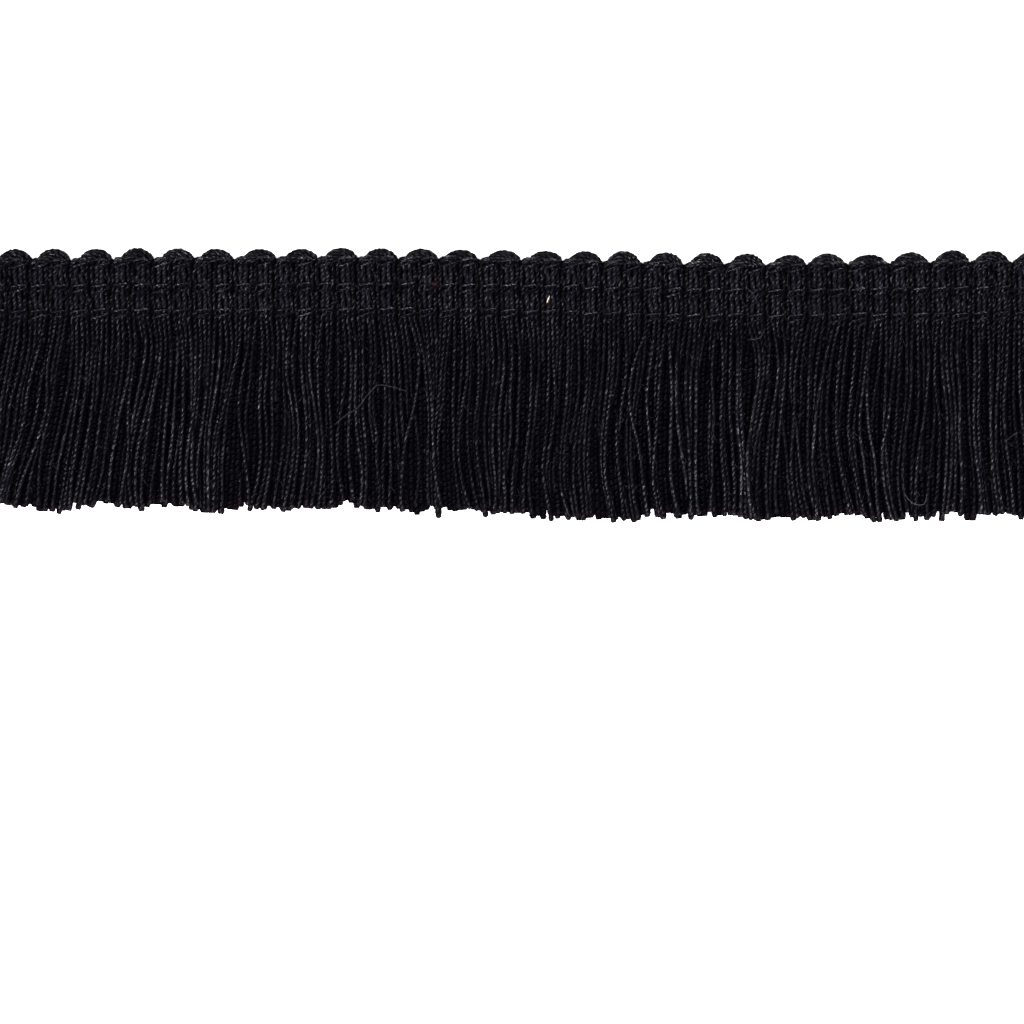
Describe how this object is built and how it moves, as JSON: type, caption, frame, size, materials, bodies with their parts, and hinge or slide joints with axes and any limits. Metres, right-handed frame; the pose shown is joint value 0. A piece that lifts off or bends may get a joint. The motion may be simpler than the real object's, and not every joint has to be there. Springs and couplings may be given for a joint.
{
  "type": "brush fringe trim",
  "caption": "Flat cut length of knitted fringe trim: scalloped, ribbed heading with three chain-stitch rows, and a dense fringe of cut yarns to sew or glue along an edge.",
  "frame": {"origin": "on the heading's flat back, under the middle chain row, half way along the trim", "axes": "+X along the trim, +Y across it towards the scalloped edge, +Z out of the face; the trim lies on its back on z = 0"},
  "size_m": [0.1028, 0.0245, 0.0017],
  "materials": {
    "chain_thread": "black cotton thread, a little smoother than the yarn",
    "plied_yarn": "matt black two-ply cotton yarn, looped in the heading and cut at the fringe's ends"
  },
  "bodies": {
    "root": {"heading": "plied_yarn", "chain_row_top": "chain_thread", "chain_row_middle": "chain_thread", "chain_row_bottom": "chain_thread", "fringe": "plied_yarn"}
  },
  "joints": []
}
